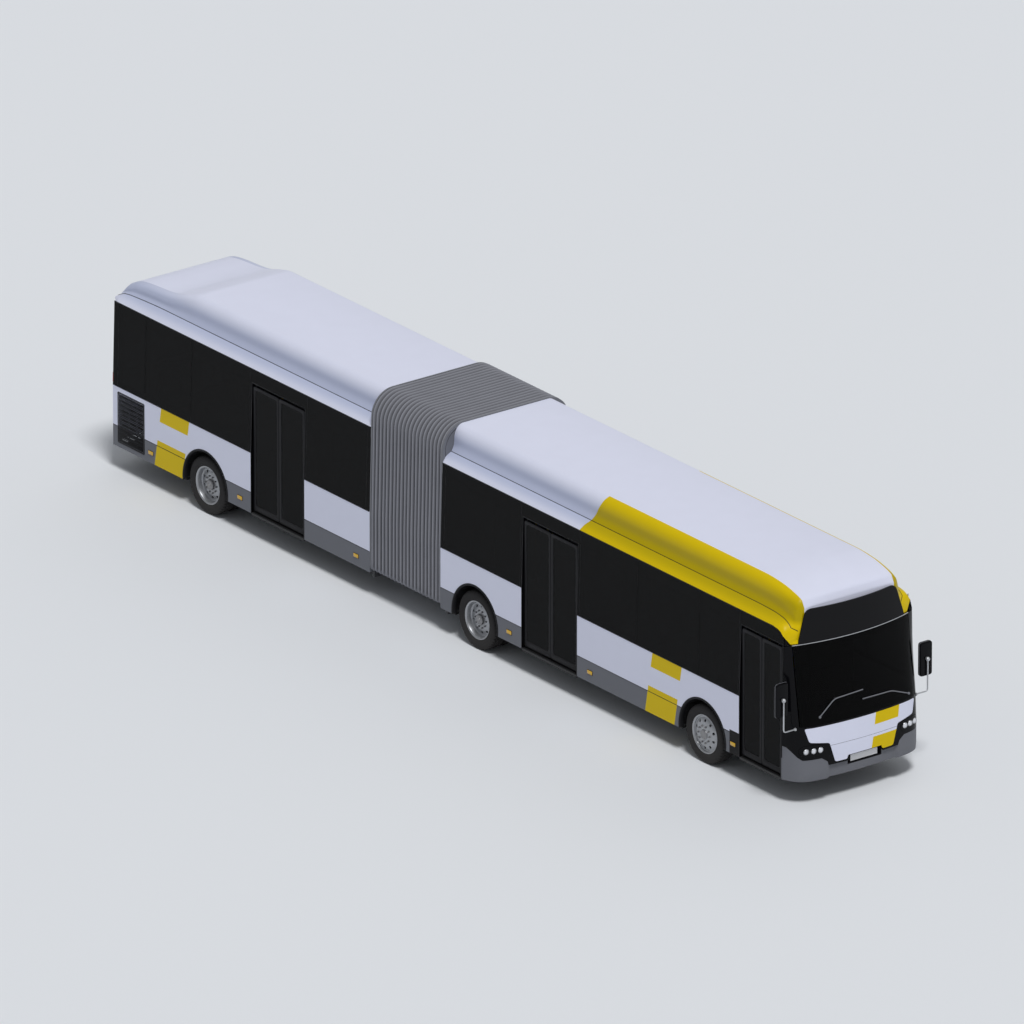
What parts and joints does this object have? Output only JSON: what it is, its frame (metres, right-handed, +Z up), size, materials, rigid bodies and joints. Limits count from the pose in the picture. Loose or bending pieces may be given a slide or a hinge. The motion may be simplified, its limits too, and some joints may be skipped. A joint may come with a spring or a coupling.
{
  "type": "articulated bus",
  "caption": "Low-floor articulated bus: two sections on a turntable inside a folded bellows, with steered front wheels, twin wheels behind and inward-gliding doors.",
  "frame": {"origin": "on the road, under the middle of the whole bus", "axes": "+X forward along the bus, +Y to the driver's side, +Z up"},
  "size_m": [17.96, 3.04, 3.44],
  "materials": {
    "white_paint": "gloss white coach paint",
    "grey_paint": "satin grey skirt paint",
    "black_paint": "gloss black panel",
    "dark_glass": "dark tinted glass",
    "dark_plastic": "textured dark plastic",
    "bellows_rubber": "matt coated bellows fabric",
    "tyre": "worn black tyre rubber",
    "rim_steel": "silver-grey painted steel",
    "frame_steel": "black chassis paint",
    "seat_fabric": "woven seat moquette",
    "lamp_clear": "clear lamp cover"
  },
  "bodies": {
    "front_section": {"front_wall_left": "white_paint", "front_wall_right": "white_paint", "front_roof": "white_paint", "front_floor": "dark_plastic", "front_mask": "black_paint", "windscreen": "dark_glass", "front_bumper": "grey_paint", "front_glass_left": "dark_glass", "front_glass_right": "dark_glass", "headlamp_left": "lamp_clear", "headlamp_right": "lamp_clear", "mirror_left": "dark_plastic", "mirror_right": "dark_plastic", "driver_cab": "dark_plastic", "front_seats_and_rails": "seat_fabric", "front_joint_frame": "frame_steel", "front_axle": "frame_steel", "middle_axle": "frame_steel"},
    "rear_section": {"rear_wall_left": "white_paint", "rear_wall_right": "white_paint", "rear_roof": "white_paint", "rear_floor": "dark_plastic", "rear_end": "white_paint", "rear_glass_left": "dark_glass", "rear_glass_right": "dark_glass", "rear_window": "dark_glass", "engine": "frame_steel", "rear_seats_and_rails": "seat_fabric", "rear_joint_frame": "frame_steel", "rear_axle": "frame_steel", "bellows": "bellows_rubber"},
    "knuckle_left": {"knuckle_left": "frame_steel"},
    "front_wheel_left": {"front_wheel_left_tyre": "tyre", "front_wheel_left_rim": "rim_steel"},
    "middle_wheels_left": {"middle_wheels_left_tyre": "tyre", "middle_wheels_left_rim": "rim_steel"},
    "rear_wheels_left": {"rear_wheels_left_tyre": "tyre", "rear_wheels_left_rim": "rim_steel"},
    "knuckle_right": {"knuckle_right": "frame_steel"},
    "front_wheel_right": {"front_wheel_right_tyre": "tyre", "front_wheel_right_rim": "rim_steel"},
    "middle_wheels_right": {"middle_wheels_right_tyre": "tyre", "middle_wheels_right_rim": "rim_steel"},
    "rear_wheels_right": {"rear_wheels_right_tyre": "tyre", "rear_wheels_right_rim": "rim_steel"},
    "front_door_rear_arm": {"front_door_rear_arm": "frame_steel"},
    "front_door_rear_leaf": {"front_door_rear_leaf": "dark_plastic"},
    "front_door_front_arm": {"front_door_front_arm": "frame_steel"},
    "front_door_front_leaf": {"front_door_front_leaf": "dark_plastic"},
    "middle_door_rear_arm": {"middle_door_rear_arm": "frame_steel"},
    "middle_door_rear_leaf": {"middle_door_rear_leaf": "dark_plastic"},
    "middle_door_front_arm": {"middle_door_front_arm": "frame_steel"},
    "middle_door_front_leaf": {"middle_door_front_leaf": "dark_plastic"},
    "rear_door_rear_arm": {"rear_door_rear_arm": "frame_steel"},
    "rear_door_rear_leaf": {"rear_door_rear_leaf": "dark_plastic"},
    "rear_door_front_arm": {"rear_door_front_arm": "frame_steel"},
    "rear_door_front_leaf": {"rear_door_front_leaf": "dark_plastic"}
  },
  "joints": [
    {"name": "articulation", "type": "hinge", "parent": "front_section", "child": "rear_section", "pos_m": [-1.087, 0, 0.4], "axis": [0, 0, 1], "range_deg": [-50, 50], "deforming": ["bellows"]},
    {"name": "steering_left", "type": "hinge", "parent": "front_section", "child": "knuckle_left", "pos_m": [6.538, 0.93, 0.479], "axis": [0, 0, 1], "range_deg": [-38, 38]},
    {"name": "front_wheel_left_spin", "type": "hinge", "parent": "knuckle_left", "child": "front_wheel_left", "pos_m": [6.538, 1.112, 0.479], "axis": [0, 1, 0], "continuous": true},
    {"name": "middle_wheels_left_spin", "type": "hinge", "parent": "front_section", "child": "middle_wheels_left", "pos_m": [0.7235, 1.112, 0.479], "axis": [0, 1, 0], "continuous": true},
    {"name": "rear_wheels_left_spin", "type": "hinge", "parent": "rear_section", "child": "rear_wheels_left", "pos_m": [-6.326, 1.112, 0.479], "axis": [0, 1, 0], "continuous": true},
    {"name": "steering_right", "type": "hinge", "parent": "front_section", "child": "knuckle_right", "pos_m": [6.538, -0.93, 0.479], "axis": [0, 0, 1], "range_deg": [-38, 38]},
    {"name": "front_wheel_right_spin", "type": "hinge", "parent": "knuckle_right", "child": "front_wheel_right", "pos_m": [6.538, -1.112, 0.479], "axis": [0, 1, 0], "continuous": true},
    {"name": "middle_wheels_right_spin", "type": "hinge", "parent": "front_section", "child": "middle_wheels_right", "pos_m": [0.7235, -1.112, 0.479], "axis": [0, 1, 0], "continuous": true},
    {"name": "rear_wheels_right_spin", "type": "hinge", "parent": "rear_section", "child": "rear_wheels_right", "pos_m": [-6.326, -1.112, 0.479], "axis": [0, 1, 0], "continuous": true},
    {"name": "front_door_rear_swing", "type": "hinge", "parent": "front_section", "child": "front_door_rear_arm", "pos_m": [7.458, -1.154, 1.5], "axis": [0, 0, 1], "range_deg": [0, 88]},
    {"name": "front_door_rear_glide", "type": "hinge", "parent": "front_door_rear_arm", "child": "front_door_rear_leaf", "pos_m": [7.73625, -1.154, 1.5], "axis": [0, 0, 1], "range_deg": [-176, 0]},
    {"name": "front_door_front_swing", "type": "hinge", "parent": "front_section", "child": "front_door_front_arm", "pos_m": [8.519, -1.154, 1.5], "axis": [0, 0, -1], "range_deg": [0, 78]},
    {"name": "front_door_front_glide", "type": "hinge", "parent": "front_door_front_arm", "child": "front_door_front_leaf", "pos_m": [8.24075, -1.154, 1.5], "axis": [0, 0, -1], "range_deg": [-156, 0]},
    {"name": "middle_door_rear_swing", "type": "hinge", "parent": "front_section", "child": "middle_door_rear_arm", "pos_m": [1.922, -1.154, 1.5], "axis": [0, 0, 1], "range_deg": [0, 88]},
    {"name": "middle_door_rear_glide", "type": "hinge", "parent": "middle_door_rear_arm", "child": "middle_door_rear_leaf", "pos_m": [2.29125, -1.154, 1.5], "axis": [0, 0, 1], "range_deg": [-176, 0]},
    {"name": "middle_door_front_swing", "type": "hinge", "parent": "front_section", "child": "middle_door_front_arm", "pos_m": [3.347, -1.154, 1.5], "axis": [0, 0, -1], "range_deg": [0, 88]},
    {"name": "middle_door_front_glide", "type": "hinge", "parent": "middle_door_front_arm", "child": "middle_door_front_leaf", "pos_m": [2.97775, -1.154, 1.5], "axis": [0, 0, -1], "range_deg": [-176, 0]},
    {"name": "rear_door_rear_swing", "type": "hinge", "parent": "rear_section", "child": "rear_door_rear_arm", "pos_m": [-5.124, -1.154, 1.5], "axis": [0, 0, 1], "range_deg": [0, 88]},
    {"name": "rear_door_rear_glide", "type": "hinge", "parent": "rear_door_rear_arm", "child": "rear_door_rear_leaf", "pos_m": [-4.759, -1.154, 1.5], "axis": [0, 0, 1], "range_deg": [-176, 0]},
    {"name": "rear_door_front_swing", "type": "hinge", "parent": "rear_section", "child": "rear_door_front_arm", "pos_m": [-3.716, -1.154, 1.5], "axis": [0, 0, -1], "range_deg": [0, 88]},
    {"name": "rear_door_front_glide", "type": "hinge", "parent": "rear_door_front_arm", "child": "rear_door_front_leaf", "pos_m": [-4.081, -1.154, 1.5], "axis": [0, 0, -1], "range_deg": [-176, 0]}
  ],
  "couplings": [
    {"joint": "steering_right", "follows": "steering_left", "ratio": 1},
    {"joint": "front_door_rear_glide", "follows": "front_door_rear_swing", "ratio": -2},
    {"joint": "front_door_front_glide", "follows": "front_door_front_swing", "ratio": -2},
    {"joint": "middle_door_rear_glide", "follows": "middle_door_rear_swing", "ratio": -2},
    {"joint": "middle_door_front_glide", "follows": "middle_door_front_swing", "ratio": -2},
    {"joint": "rear_door_rear_glide", "follows": "rear_door_rear_swing", "ratio": -2},
    {"joint": "rear_door_front_glide", "follows": "rear_door_front_swing", "ratio": -2}
  ]
}
